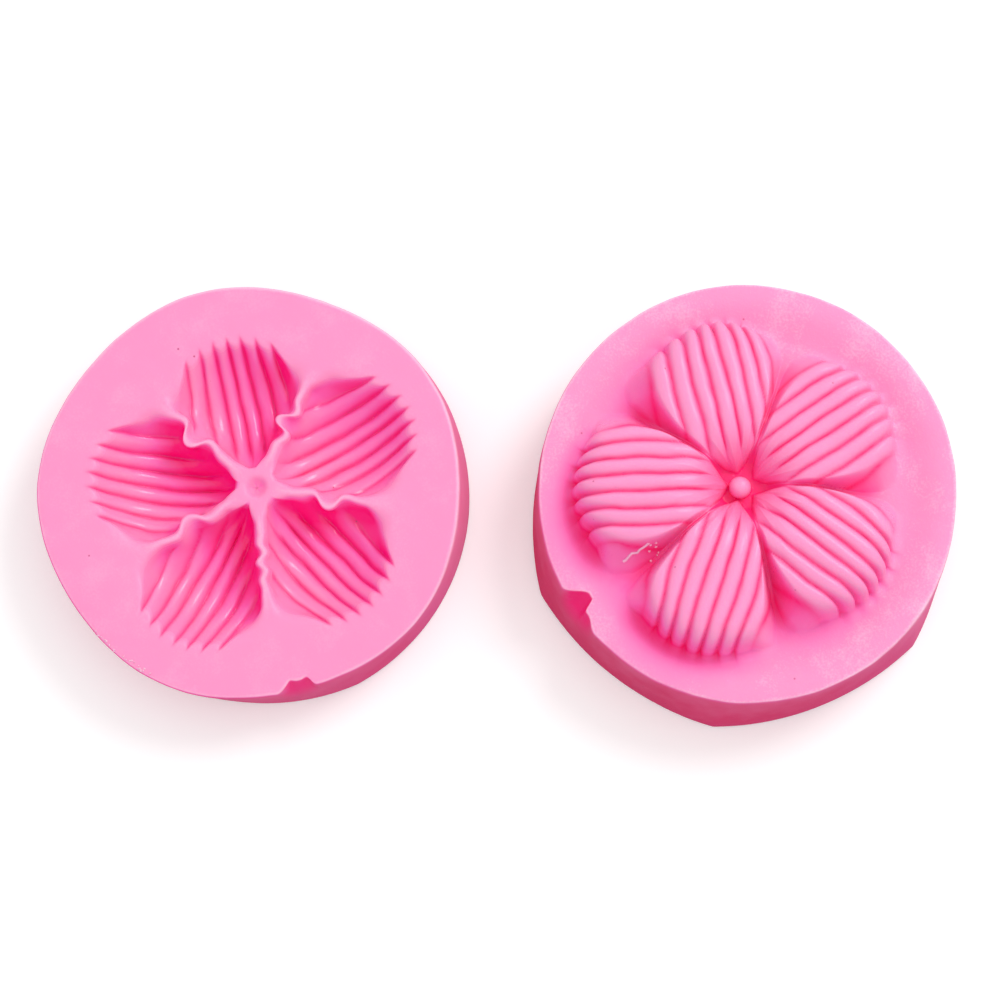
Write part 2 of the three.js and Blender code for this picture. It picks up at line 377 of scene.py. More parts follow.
# %% The place of a point on a petal
LIP_COLUMN_SHARE = 0.6  # of the columns beside a petal, those on its lip
LIP_SHARE = 0.8  # of a narrow web's half width, its rounded side
CORNER_START, CORNER_ROUND = 0.75, 2  # the rounding of a petal's outer corners
SKIRT_START, SKIRT_SHARE = 0.82, 0.75  # where a plain side starts to widen, and its share of the room
# how narrow the lines of painted shade in the grooves are
GROOVE_SHADE_SHARPNESS = 4.5
FINGER_SHARPNESS = 3
PLAIN_SIDE_ONSET = 3  # how soon after the last groove a side counts as plain
WANDER, WANDER_SCALE = 0.35, 3  # how far a groove strays, in ribs, and how often


def rib_wander(tree, petal, at):
    """How far the grooves stray at each point, differently on each petal."""
    return noise(tree, vector_of(tree, X=at.u, Y=at.s), WANDER_SCALE, petal["Axis"])[0] * WANDER


def petal_place(half, petal, at, wander):
    """Where a point of the grid lies on its petal, and how deep it lies in a groove."""
    tip_rib = (at.u * (half.width / half.ribbed) + 1) * (RIB_COUNT / 2)
    from_middle = abs(tip_rib * (2 / RIB_COUNT) - 1).at_most(1)
    end = petal["Reach"] - from_middle**2 * TIP_SWEEP
    end = end - groove_line(half, tip_rib + wander, skipped=1) ** FINGER_SHARPNESS * half.fingertip
    end = end - span(abs(at.u), CORNER_START, 1) ** 2 * CORNER_ROUND
    along = at.s * (end + half.run - half.hub) + half.hub
    share = (along - half.hub) / (end - half.hub)

    wedge = span(along, half.wedge, half.hub, smooth=True) * half.wedge_width
    fan = along * degrees(petal["Half Angle"], "TANGENT") - half.gap / 2 - wedge
    full = (fan**-EDGE_SOFTNESS + half.width**-EDGE_SOFTNESS) ** (-1 / EDGE_SOFTNESS)
    narrow = span(along / petal["Reach"], 1 - NARROWING_SHARE, 1, smooth=True)
    edge = full - narrow * TIP_NARROWING
    widest = mix(half.skirts[0], half.skirts[1], at.side * 0.5 + 0.5)
    widest = widest * span(share, half.skirt_fade[1], half.skirt_fade[0], smooth=True)
    skirt = ((fan - full) * SKIRT_SHARE).at_most(widest) * span(abs(at.u), SKIRT_START, 1) * at.side
    across = at.u * edge + skirt + petal["Lean"] * at.s * (1 - at.u * at.u)

    rib = (tip_rib - RIB_COUNT / 2) * (full / half.width) ** RIB_PARALLEL + RIB_COUNT / 2 + wander
    fade = clamp((along - half.hub) / RIB_FADE_LENGTH)
    first, last = half.grooves
    past_grooves = abs(rib - rib.at_least(first).at_most(last))
    return SimpleNamespace(
        along=along,
        across=across,
        share=share,
        groove=tube_groove(near_groove(half, rib)) * fade,
        # painted shade along the middle of each groove
        vein=groove_line(half, rib) ** GROOVE_SHADE_SHARPNESS * fade * span(at.beside, 0.01, 0),
        outside=clamp(past_grooves * PLAIN_SIDE_ONSET),
    )


def sector_plan(half, petal, at, spot):
    """Along and across, with the columns beside the petal spread to the web, and the share of the lip."""
    cosine = degrees(petal["Half Angle"], "COSINE")
    sine = degrees(petal["Half Angle"], "SINE") * at.side
    line = at.s * (PETAL_REACH - half.web_start) + half.web_start
    away_x, away_y = line * cosine - spot.along, line * sine - spot.across
    width = hypot(away_x, away_y)
    lip = (width * LIP_SHARE).at_most(half.lip_width)
    on_lip = lip * span(at.beside, 0, LIP_COLUMN_SHARE)
    distance = on_lip + (width - lip) * span(at.beside, LIP_COLUMN_SHARE, 1)
    share = distance / width.at_least(TINY)
    return spot.along + away_x * share, spot.across + away_y * share, clamp(distance / lip.at_least(TINY))


print("a groove strays by up to", WANDER / 2, "ribs")

# %% [markdown]
# The rim, wall and back follow the disc's outline. The pair was poured by hand, so the face has slow waves,
# the back has soft corners and lies a little off the face, and each rim has a nick that the casting left.
# The columns crowd together at the nick, which gives it enough points without a finer grid.

# %% The outline of a disc
RIM_SHARE, WALL_SHARE, FOOT_SHARE = 0.24, 0.7, 0.8  # where the edge rows end the rim, the wall and the foot
RIM_CREST, RIM_PALE = 0.1, (0.15, 0.3)  # where the painted highlight on the rim is brightest, and where it fades
NICK_SHADE = (0.05, 0.2)  # the edge rows over which the nick takes painted shade
FOCUS, FOCUS_WIDTH = 0.7, 13  # how strongly, and how far round the nick, the columns crowd together


def wrapped(field):
    """An angle between -180 and 180 degrees."""
    return field.math("WRAP", 180, -180)


def edge_profile(half, edge):
    """How far in from the outline and how far below the face a row lies, and its share of the back."""
    rim = span(edge, 0, RIM_SHARE) * 90
    foot = span(edge, WALL_SHARE, FOOT_SHARE) * 90
    straight = half.thickness - RIM_ROUND - FACE_EDGE_ROUND
    inset = (1 - degrees(rim, "SINE")) * FACE_EDGE_ROUND + (1 - degrees(foot, "COSINE")) * RIM_ROUND
    drop = (1 - degrees(rim, "COSINE")) * FACE_EDGE_ROUND + degrees(foot, "SINE") * RIM_ROUND
    return inset, drop + span(edge, RIM_SHARE, WALL_SHARE) * straight, span(edge, FOOT_SHARE, 1)


def outline_place(half, petal, at):
    """X and Y on the disc's outline, the depth below the face, and the depth of the nick's bite."""
    angle = petal["Axis"] + at.column * petal["Half Angle"]
    inset, drop, back = edge_profile(half, at.edge)
    off = wrapped(angle - half.nick.angle)
    focused = angle - off * bell(off, FOCUS_WIDTH) * FOCUS
    down = drop / half.thickness
    period = 360 / half.corners
    corner = (focused - half.corner_turn).math("FLOORED_MODULO", period) * (2 / period) - 1
    wave = degrees((focused - half.wave_turn) * half.waves, "COSINE") * half.swell
    bite = half.nick.shape(wrapped(focused - half.nick.angle))
    bite = bite * (1 - span(drop, 0, half.nick.drop, smooth=True))
    reach = down * corner * corner * half.corner_reach
    radius = (FACE_RADIUS - inset + (1 - down) * wave + reach - bite) * (1 - back)
    x = degrees(focused, "COSINE") * radius + down * half.lean[0] - half.shift
    y = degrees(focused, "SINE") * radius + down * half.lean[1] - FLOWER_SETBACK
    return x, y, drop, bite


def edge_masks(at, bite):
    """Masks of the wall, which takes painted shade, of the painted highlight on the rim's crest, and of the
    painted shade in the nick.
    """
    wall = span(at.edge, RIM_CREST, RIM_SHARE) * span(at.edge, FOOT_SHARE, WALL_SHARE) * (1 - clamp(bite))
    rim = span(at.edge, 0, RIM_CREST) * span(at.edge, RIM_PALE[1], RIM_PALE[0])
    return wall, rim, clamp(bite) * span(at.edge, *NICK_SHADE)


def finish_sector(tree, out, at, place_of_points, masks):
    """Keeps the masks for the finish and moves the grid to its place."""
    geometry = at.grid
    for name, mask in masks.items():
        geometry = keep(tree, geometry, name, mask)
    inputs = {"Position": vector_of(tree, **dict(zip("XYZ", place_of_points)))}
    feed(tree, through(tree, geometry, "GeometryNodeSetPosition", inputs), out.inputs["Geometry"])


print("a face is", 2 * FACE_RADIUS, "mm across")

# %% [markdown]
# ## The raised half
# Its petals are plump cushions of seven round ribs, with steep plain sides and rib ends like fingertips.
# They stand in a shallow dish, round a bead. A shred of silicone and a few crumbs cling beside one petal. All
# sizes of a half are kept together, so that both halves can go through the same formulas.

# %% Sizes of the raised half
PETAL_INPUTS = {"Axis": 0.0, "Half Angle": 36.0, "Reach": PETAL_REACH, "Lean": 0.0}
RAISED_SIZES = {"Height": 8.4, "Rib Depth": 1.3, "Dish Depth": 1.7}


def raised_bite(off):
    """The nick's depth in millimetres at an angle from its middle: a slow slope, then a rounded end."""
    inner_end = span(off, 0.6, 3, smooth=True) * 2.1 + span(off, 4, 9.5, smooth=True) * 1.3
    return span(off, -6.4, -0.8, smooth=True) * (3.4 - inner_end)


raised_half = SimpleNamespace(
    name="raised half",
    origin=(0.040819, -0.000080, 0),  # the flower's centre, in metres
    thickness=15,
    shift=-1,  # of the flower from the middle of its disc
    hub=2.1,  # where the petals start
    web_start=2.6,
    gap=0.5,  # between two petals
    wedge=6.5,  # the gap widens from here to the hub
    wedge_width=0.7,
    width=12.5,  # of half a petal
    ribbed=10.2,  # of its ribbed part
    grooves=(0, RIB_COUNT),  # the first and the last, counted in ribs
    run=0,  # how far grooves run on past the end of the petal
    fingertip=1.1,  # how far the end of a rib passes the grooves beside it
    skirts=(1.7, 1.7),  # how much wider the plain sides may be
    skirt_fade=(2, 3),  # shares of the length between which that fades
    lip_width=1.8,
    waves=2,
    wave_turn=80,
    swell=0.5,
    corners=6,
    corner_turn=262,
    corner_reach=1.5,
    lean=(-0.3, -1.3),  # of the back from the face
    nick=SimpleNamespace(angle=214.2, drop=7, shape=raised_bite),
    crumbs=SimpleNamespace(
        count=7, angles=(213, 219), radii=(17.8, 19.6), centre=(0, 0), sizes=(0.1, 0.3), seed=8
    ),
    shreds=[SimpleNamespace(count=10, start=(-19.8, -12.7), end=(-15.8, -10.6), wave=1.6, radius=0.26)],
)
print(raised_half.name, "is", raised_half.thickness, "mm thick")

# %% [markdown]
# The dome of a petal is one formula for its height, and the grooves are cut out of it. The creases between
# the petals have a floor of their own: deep round the bead, higher where the petals press together, and level
# with the dish where they part again.

# %% The dome of a raised petal
RAISED_TIP = (8, 0.5)  # how full and how round a petal is from its crest to its tip
RIB_EDGES, RIB_EDGE_TURN = (0.9, 0.82), (11, 20)  # where a plain side starts, near the hub and further out
CUSHION = 0.2  # how much lower the outermost ribs lie
GROOVE_SIDE = (1, 0.9)  # shares of a petal's half width over which its grooves fade out
HUB_ROUND = 0.05  # share of its length by which a petal's inner corners start later
HUB_FLOOR = 1.4  # floor of the pocket round the bead, above the dish
CREASE_RISE = 5.4  # floor of the creases between petals, above the dish
CREASE_START, CREASE_END = (3.4, 8), (10.5, 21)  # distances over which the crease's floor rises and falls


def raised_dome(petal, at, spot, radius):
    """A petal's height above the dish, its rise from the crease, and the depth of its grooves."""
    started = (spot.share - at.u * at.u * HUB_ROUND).at_least(0)
    inner = bulge((CREST - started).at_least(0) / CREST, *INNER_CURVE)
    outer = bulge((spot.share - CREST).at_least(0) / (1 - CREST), *RAISED_TIP)
    rib_edge = mix(RIB_EDGES[0], RIB_EDGES[1], span(radius, *RIB_EDGE_TURN, smooth=True))
    slope = 1 - (span(abs(at.u), rib_edge, 1) + span(abs(at.u), rib_edge, 1, smooth=True)) * 0.5
    crease = mix(HUB_FLOOR, CREASE_RISE, span(radius, *CREASE_START, smooth=True))
    crease = crease * (1 - span(radius, *CREASE_END, smooth=True))
    tall = (inner * outer * petal["Height"] - crease).at_least(0)
    dome = crease + tall * slope * (1 - at.u * at.u * CUSHION)
    depth = petal["Rib Depth"]
    groove = spot.groove * depth * dome / (dome + depth) * span(abs(at.u), *GROOVE_SIDE)
    return dome, tall * slope, groove


print("creases lie", CREASE_RISE, "mm above the dish")

# %% The bead
BEAD_RADIUS, BEAD_HEIGHT = 1.85, 4.3
BEAD_TURN = 125  # degrees from the bead's top down its side, where it meets the floor
BEAD_ROW_SHARE = 0.75
BEAD_SHIFT = (-0.4, -0.4)  # of the bead from the middle of the flower


def bead_place(half, petal, at, x, y, z):
    """The place of the points, with the rows of the hub laid over the bead and the floor round it."""
    ball = span(at.hub, 0, BEAD_ROW_SHARE) * BEAD_TURN
    foot = span(at.hub, BEAD_ROW_SHARE, 1)
    reach = hypot(x, y).at_least(TINY)
    bead_x = mix(x / reach * degrees(ball, "SINE") * BEAD_RADIUS + BEAD_SHIFT[0], x, foot)
    bead_y = mix(y / reach * degrees(ball, "SINE") * BEAD_RADIUS + BEAD_SHIFT[1], y, foot)
    bead_top = degrees(ball, "COSINE") * BEAD_RADIUS + (half.thickness + BEAD_HEIGHT - BEAD_RADIUS)
    bead_z = mix(bead_top, half.thickness + HUB_FLOOR, foot) - petal["Dish Depth"]
    return mix(x, bead_x, at.in_hub), mix(y, bead_y, at.in_hub), mix(z, bead_z, at.in_hub)


print("bead of", 2 * BEAD_RADIUS, "mm")

# %% [markdown]
# The masks say where the finish changes: painted shade in the grooves and creases, in the pocket round the
# bead and in the nick, and the powdery look on the plain face.

# %% The raised petal's sector
RAISED_PETAL_SHARE = 0.82  # of the columns, those on the petal
DISH_FOOT, DISH_TOP = 26.5, 33.2  # distances from the middle of the disc
HUB_SHADE, HUB_SHADE_SHARE = (11, 3), 0.45  # where and how much painted shade the ribs take towards the bead
POCKET_RISE, POCKET_REACH, POCKET_ROWS = (1.2, 0), (8, 4), (0.6, 0.8)  # what counts as the bead's pocket, which takes painted shade
SEAM_WIDTH, SEAM_REACH, SEAM_SHADE = (0, 0.4), (25, 13), 0.9  # the painted shade in the creases
GROOVE_SHADE_RISE, GROOVE_SHADE_END = (0, 2), (1.1, 0.8)  # the lines of painted shade in the grooves fade at the foot of a petal and at its tip
RAISED_PLAIN = (1.5, 0)  # heights between which a petal turns into plain face


def raised_hollow_shade(at, spot, radius, dome, rise):
    """The mask of painted shade in the grooves, towards the bead, in its pocket and in the creases between
    petals.
    """
    lines = spot.vein * span(dome, *GROOVE_SHADE_RISE) * span(spot.share, *GROOVE_SHADE_END)
    outside_hub = 1 - at.in_hub
    # painted shade on the ribs towards the bead
    glow = span(radius, *HUB_SHADE, smooth=True) * HUB_SHADE_SHARE * outside_hub
    pocket = span(rise, *POCKET_RISE) * span(radius, *POCKET_REACH) * outside_hub
    pocket = pocket + span(at.hub, *POCKET_ROWS) * at.in_hub
    seam = span(at.beside, *SEAM_WIDTH) * span(radius, *SEAM_REACH) * outside_hub * SEAM_SHADE
    return lines.at_least(glow).at_least(pocket).at_least(seam)


def raised_sector():
    """The tree of one raised petal with its part of the disc."""
    half = raised_half
    tree, petal, out = new_tree("raised petal sector", PETAL_INPUTS | RAISED_SIZES)
    at = grid_fields(tree, RAISED_PETAL_SHARE)
    spot = petal_place(half, petal, at, rib_wander(tree, petal, at))
    along, across, _ = sector_plan(half, petal, at, spot)
    x, y = turned(along, across, petal["Axis"])
    radius = hypot(x, y)
    dome, rise, groove = raised_dome(petal, at, spot, radius)

    rim_x, rim_y, drop, bite = outline_place(half, petal, at)
    x, y = mix(x, rim_x, at.face), mix(y, rim_y, at.face)
    from_middle = hypot(x + half.shift, y + FLOWER_SETBACK)
    dish = (1 - span(from_middle, DISH_FOOT, DISH_TOP, smooth=True)) * petal["Dish Depth"]
    dish = dish * (1 - span(at.edge, 0, 0.01))
    z = half.thickness - dish + dome - groove - drop

    wall, rim, scoop = edge_masks(at, bite)
    vein = raised_hollow_shade(at, spot, radius, dome, rise).at_least(scoop)
    masks = {"wall": wall, "rim": rim, "vein": vein, "plain": span(dome, *RAISED_PLAIN)}
    finish_sector(tree, out, at, bead_place(half, petal, at, x, y, z), masks)
    return tree


raised_tree = raised_sector()
print(raised_tree.name, "has", len(raised_tree.nodes), "nodes")

# %% [markdown]
# ## The cavity half
# Its petals are bowls with seven grooves that end in points, low crowned bands between the grooves, and a
# rounded lip. Thin webs part the petals and meet at a flat hub with a dimple for the bead. Crumbs of
# silicone cling to one stretch of the rim.

# %% Sizes of the cavity half
CAVITY_SIZES = {"Depth": 7.0, "Groove Depth": 1.4}


def cavity_bite(off):
    """The nick's depth in millimetres at an angle from its middle: a torn edge with two deeper places."""
    torn = ((off + 1.1) ** 2 * -0.8).math("EXPONENT") * 0.3
    torn = torn + ((off - 3.4) ** 2 * -1).math("EXPONENT") * 0.15
    return span(off, -5.6, -1, smooth=True) * (1 - span(off, 3.8, 5.6, smooth=True)) * (torn + 1.5)


cavity_half = SimpleNamespace(
    name="cavity half",
    origin=(-0.040081, 0.000420, 0),
    thickness=13,
    shift=1,
    hub=3.4,
    web_start=4.2,
    gap=2.8,
    wedge=6,
    wedge_width=0.4,
    width=10.2,
    ribbed=9.7,
    grooves=(0.5, RIB_COUNT - 0.5),
    run=2,
    fingertip=0,
    skirts=(0.4, 1.5),
    skirt_fade=(0.45, 1),
    lip_width=3.4,
    waves=5,
    wave_turn=34,
    swell=0.4,
    corners=2,
    corner_turn=297,
    corner_reach=1.6,
    lean=(1.2, 2.1),
    nick=SimpleNamespace(angle=283.5, drop=6, shape=cavity_bite),
    crumbs=SimpleNamespace(
        count=26, angles=(222, 243), radii=(34.5, 35.2), centre=(-1, -0.6), sizes=(0.08, 0.26), seed=3
    ),
    shreds=[],
)
print(cavity_half.name, "is", cavity_half.thickness, "mm thick")

# %% The sunk petal's sector
CAVITY_PETAL_SHARE = 0.76  # of the columns, those in the bowl
BOWL_TIP, BOWL_SIDE, BOWL_SHALLOW = 2.6, 3.4, 0.82  # powers of its end and its sides, and the sides' rise
LIP_SOFTNESS, HUB_DROP = 0.5, 0.5
PLAIN_SIDE_RUN = (0.8, 1.05)  # shares of its length between which a bowl's plain sides rise to the face
TIP_FADE = (1, 0.95)
# the dimple's radius and depth, and the painted shade in it
DIMPLE_RADIUS, DIMPLE_DEPTH, DIMPLE_SHADE = 1.9, 0.9, 0.35
DIMPLE_CURVE = (4, 1.5)
WEB_HIGHLIGHT = 0.5  # how strongly a web's crest takes the painted highlight of the rim
WEB_CREST, WEB_END, WEB_START = (0.35, 0.9), (24, 16), (3, 6)  # where a web's crest takes the painted highlight
CAVITY_PLAIN = (1, 0)  # depths between which a bowl turns into plain face


def bowl_depth(petal, at, spot, lip, tip_fade):
    """The depth of a bowl with its grooves below the face."""
    inner = bulge((CREST - spot.share).at_least(0) / CREST, *INNER_CURVE)
    outer = 1 - ((spot.share - CREST).at_least(0) / (1 - CREST)) ** BOWL_TIP
    bowl = inner * outer * (1 - abs(at.u) ** BOWL_SIDE * BOWL_SHALLOW) * petal["Depth"]
    run_out = 1 - spot.outside * span(spot.share, *PLAIN_SIDE_RUN, smooth=True)
    sunk = bowl + spot.groove * run_out * petal["Groove Depth"]
    soft = clamp(spot.share / CREST) * LIP_SOFTNESS
    return (sunk + hypot(sunk, soft)) * 0.5 * (1 - lip) ** 2 * tip_fade


def cavity_sector():
    """The tree of one sunk petal with its part of the disc."""
    half = cavity_half
    tree, petal, out = new_tree("sunk petal sector", PETAL_INPUTS | CAVITY_SIZES)
    at = grid_fields(tree, CAVITY_PETAL_SHARE)
    spot = petal_place(half, petal, at, rib_wander(tree, petal, at))
    along, across, lip = sector_plan(half, petal, at, spot)
    x, y = turned(along, across, petal["Axis"])
    tip_fade = span(at.s, *TIP_FADE, smooth=True)
    depth = bowl_depth(petal, at, spot, lip, tip_fade)
    hub_drop = span(hypot(x, y), PETAL_REACH, 0, smooth=True) * HUB_DROP

    rim_x, rim_y, drop, bite = outline_place(half, petal, at)
    x, y = mix(x, rim_x, at.face), mix(y, rim_y, at.face)
    x, y = mix(x, x * at.hub, at.in_hub), mix(y, y * at.hub, at.in_hub)
    radius = hypot(x, y)
    dimple = bulge(clamp(radius / DIMPLE_RADIUS), *DIMPLE_CURVE) * DIMPLE_DEPTH * at.in_hub
    z = half.thickness - depth - hub_drop - dimple - drop

    wall, rim, scoop = edge_masks(at, bite)
    # a painted highlight on the crests of the webs
    crest = span(at.beside, *WEB_CREST) * span(radius, *WEB_END) * span(radius, *WEB_START) * (1 - at.face)
    rim = rim + crest * WEB_HIGHLIGHT
    # painted shade along the grooves, in the dimple and in the nick
    vein = spot.vein * tip_fade + dimple * DIMPLE_SHADE + scoop
    masks = {"wall": wall, "rim": rim, "vein": vein, "plain": span(depth, *CAVITY_PLAIN)}
    finish_sector(tree, out, at, (x, y, z), masks)
    return tree


cavity_tree = cavity_sector()
print(cavity_tree.name, "has", len(cavity_tree.nodes), "nodes")

# %% [markdown]
# ## What is uneven about a hand-made casting
# The webs are thin and soft, so their tops curl to and fro. A curl is a wave with a bell curve over it,
# which moves the top of one web sideways and leaves the bowls as they are. One group serves all five webs.

# %% The curl of a web
CURL_WIDTH = 3.2
CURL_DEPTH = 4.5
CURL_START = (2, 6)  # distances from the hub over which a web starts to curl
MEANDER = 0.15  # rounds the turns of a curl
WEB_CURLS = [
    {"Angle": 65.8, "Peak": 12.2, "Sway": 1.8, "Wave": 5.0, "Length": 2.8},
    {"Angle": 138.8, "Peak": 13.8, "Sway": 2.2, "Wave": 8.0, "Length": 3.2},
    {"Angle": 211.3, "Peak": 12.4, "Sway": -1.4, "Wave": 8.5, "Length": 4.0},
    {"Angle": 275.8, "Peak": 12.8, "Sway": -0.6, "Wave": 3.4, "Length": 3.4},
    {"Angle": 351.8, "Peak": 12.2, "Sway": -1.8, "Wave": 8.0, "Length": 3.0},
]


def web_curl():
    """Moves the top of one web from side to side along its length."""
    sizes = {"Angle": 0.0, "Peak": 12.0, "Sway": 1.5, "Wave": 6.0, "Length": 3.5, "Face": 13.0}
    tree, web, out = new_tree("web curl", sizes)
    tree.interface.new_socket("Geometry", in_out="INPUT", socket_type=GEOMETRY)
    entry = tree.nodes.new("NodeGroupInput")
    x, y, z = parts_of(tree, position_of(tree))
    cosine, sine = degrees(web["Angle"], "COSINE"), degrees(web["Angle"], "SINE")
    along, aside = x * cosine + y * sine, y * cosine - x * sine
    from_peak = along - web["Peak"]
    fading = bell(from_peak, web["Length"])
    high = span(web["Face"] - z, CURL_DEPTH, 0, smooth=True)
    weight = bell(aside, CURL_WIDTH) * high * span(along, *CURL_START, smooth=True)
    push = degrees(from_peak / web["Wave"] * 360, "COSINE") * web["Sway"] * fading * weight
    envelope = abs(web["Sway"]) * fading
    pull = degrees(from_peak / web["Wave"] * 720, "SINE") * envelope * weight * MEANDER
    offset = vector_of(tree, X=pull * cosine - push * sine, Y=pull * sine + push * cosine)
    moved = through(tree, entry.outputs["Geometry"], "GeometryNodeSetPosition", {"Offset": offset})
    feed(tree, moved, out.inputs["Geometry"])
    return tree


web_curl_tree = web_curl()
print(web_curl_tree.name, "has", len(web_curl_tree.nodes), "nodes and serves", len(WEB_CURLS), "webs")

# %% [markdown]
# ## How much light reaches a point
# The finish paints shade into the colour. Where little light from the window's side reaches a point, the
# silicone is painted a deeper pink, as shade in its hollows and on the sides turned away from the window.
# The share of the light that reaches a point is found in the mesh itself: rays go out from each point, spread
# round a direction that leans towards the window, and a ray that meets the disc is light that does not
# arrive. The Blur Attribute node smooths the result. Kept in the mesh, this painted shade stays with a disc
# when it turns over. The shader's Ambient Occlusion node could do something like it, but it knows of no
# window.

# %% Rays to the light
WINDOW = Vector((0.55, 0.5, 0.8))  # the window lamp, in metres
WINDOW_LEAN = 0.9  # how far the light's middle leans from straight up to the window
WINDOW_SPREAD = 0.55  # how widely the light spreads round its middle
RAY_COUNT, RAY_LENGTH, RAY_LIFT, SKY_BLUR = 64, 30, 0.05, 5
FACING_DOWN = (-0.3, -0.8)  # upward parts of the normal over which a point comes to count as the back
GOLDEN_TURN = math.pi * (3 - math.sqrt(5))  # spreads the rays evenly


def ray_directions():
    """Directions spread evenly round the middle of the light."""
    up = Vector((0, 0, 1))
    lean = up.rotation_difference(up.lerp(WINDOW.normalized(), WINDOW_LEAN))
    directions = []
    for ray in range(RAY_COUNT):
        away = math.sqrt((ray + 0.5) / RAY_COUNT) * WINDOW_SPREAD
        turn = ray * GOLDEN_TURN
        rise = math.sqrt(1 - away * away)
        directions.append(lean @ Vector((away * math.cos(turn), away * math.sin(turn), rise)))
    return directions


def sky_share(tree, geometry, position):
    """The share of the light from above and the window that reaches a point. The back counts as lit."""
    normal = tree.nodes.new("GeometryNodeInputNormal").outputs["Normal"]
    start = vector_math(tree, "ADD", position, vector_math(tree, "SCALE", normal, RAY_LIFT))
    met = 0
    for direction in ray_directions():
        inputs = {"Source Position": start, "Ray Direction": direction, "Ray Length": RAY_LENGTH}
        cast = place(tree, "GeometryNodeRaycast", inputs | {"Target Geometry": geometry})
        met = Field(cast.outputs["Is Hit"]) + met
    _, _, up = parts_of(tree, normal)
    share = (1 - met / RAY_COUNT).at_least(span(up, *FACING_DOWN))
    inputs = {"Value": share, "Iterations": SKY_BLUR}
    return place(tree, "GeometryNodeBlurAttribute", inputs, data_type="FLOAT").outputs["Value"]


print(len(ray_directions()), "rays from each point")

# %% [markdown]
# ## Crumbs and a shred of silicone
# Crumbs are small balls, scattered at random over a piece of a ring and dropped onto the disc with Raycast.
# The shred is a wavy line, dropped in the same way and given a thin round profile.

# %% Crumbs and shreds
DROP_HEIGHT = 60
CRUMB_FACES = 2  # subdivisions of a crumb
SHRED_SIDES = 8
SHRED_SEED, SHRED_SCALE = 4.0, 0.9


def drop_onto(tree, disc, x, y):
    """Where a point meets a disc when it falls straight down, and whether it does."""
    inputs = {
        "Target Geometry": disc,
        "Source Position": vector_of(tree, X=x, Y=y, Z=DROP_HEIGHT),
        "Ray Direction": (0, 0, -1),
        "Ray Length": DROP_HEIGHT,
    }
    cast = place(tree, "GeometryNodeRaycast", inputs)
    return cast.outputs["Hit Position"], Field(cast.outputs["Is Hit"])


def between(tree, low, high, seed):
    """A random number for each point."""
    node = place(tree, "FunctionNodeRandomValue", {"Seed": seed}, data_type="FLOAT")
    numbers = [socket for socket in node.inputs if socket.enabled]
    for socket, value in zip(numbers, (low, high)):
        socket.default_value = value
    return Field(next(socket for socket in node.outputs if socket.enabled))


def crumbs(tree, disc, clump):
    """Crumbs of silicone that cling to a disc in one piece of a ring."""
    turn = between(tree, *clump.angles, clump.seed)
    away = between(tree, *clump.radii, clump.seed + 1)
    x = degrees(turn, "COSINE") * away + clump.centre[0]
    y = degrees(turn, "SINE") * away + clump.centre[1]
    landed, hit = drop_onto(tree, disc, x, y)
    points = place(tree, "GeometryNodePoints", {"Count": clump.count, "Position": landed}).outputs["Points"]
    missed = {"Selection": hit.math("LESS_THAN", 0.5)}
    points = through(tree, points, "GeometryNodeDeleteGeometry", missed, domain="POINT")
    ball = place(tree, "GeometryNodeMeshIcoSphere", {"Radius": 1, "Subdivisions": CRUMB_FACES})
    sizes = [between(tree, *clump.sizes, clump.seed + 2 + axis) for axis in range(3)]
    inputs = {"Instance": ball.outputs["Mesh"], "Scale": vector_of(tree, **dict(zip("XYZ", sizes)))}
    balls = through(tree, points, "GeometryNodeInstanceOnPoints", inputs, output="Instances")
    return through(tree, balls, "GeometryNodeRealizeInstances")


def shred(tree, disc, strand):
    """A thin shred of silicone that lies along a disc."""
    inputs = {"Count": strand.count, "Start Location": (*strand.start, 0), "Offset": (*strand.end, 0)}
    line = place(tree, "GeometryNodeMeshLine", inputs, mode="END_POINTS").outputs["Mesh"]
    position = position_of(tree)
    x, y, _ = parts_of(tree, position)
    wavy = noise(tree, position, SHRED_SCALE, SHRED_SEED)[0] * strand.wave
    landed, _ = drop_onto(tree, disc, x, y + wavy)
    laid = through(tree, line, "GeometryNodeSetPosition", {"Position": landed})
    curve = through(tree, laid, "GeometryNodeMeshToCurve", output="Curve")
    inputs = {"Resolution": SHRED_SIDES, "Radius": strand.radius}
    profile = place(tree, "GeometryNodeCurvePrimitiveCircle", inputs).outputs["Curve"]
    inputs = {"Profile Curve": profile, "Fill Caps": True}
    return through(tree, curve, "GeometryNodeCurveToMesh", inputs, output="Mesh")


for half in (cavity_half, raised_half):
    print(half.name, "has", half.crumbs.count, "crumbs and", len(half.shreds), "shreds")

# %% [markdown]
# ## The silicone's finish, with painted shade
# Cast silicone is matte on the plain faces and satin on the petals. Both discs share one shader group. It
# mixes four colours by the masks kept in the mesh: the face colour and three colours of painted shade, one
# for shaded sides, a deep one for hollows and grooves, and one for the walls. It adds powder on the plain
# faces, a painted highlight along the rims, paler patches in the walls' painted shade and a few pits. One
# group keeps both discs alike, and each material sets its own colours and amounts.

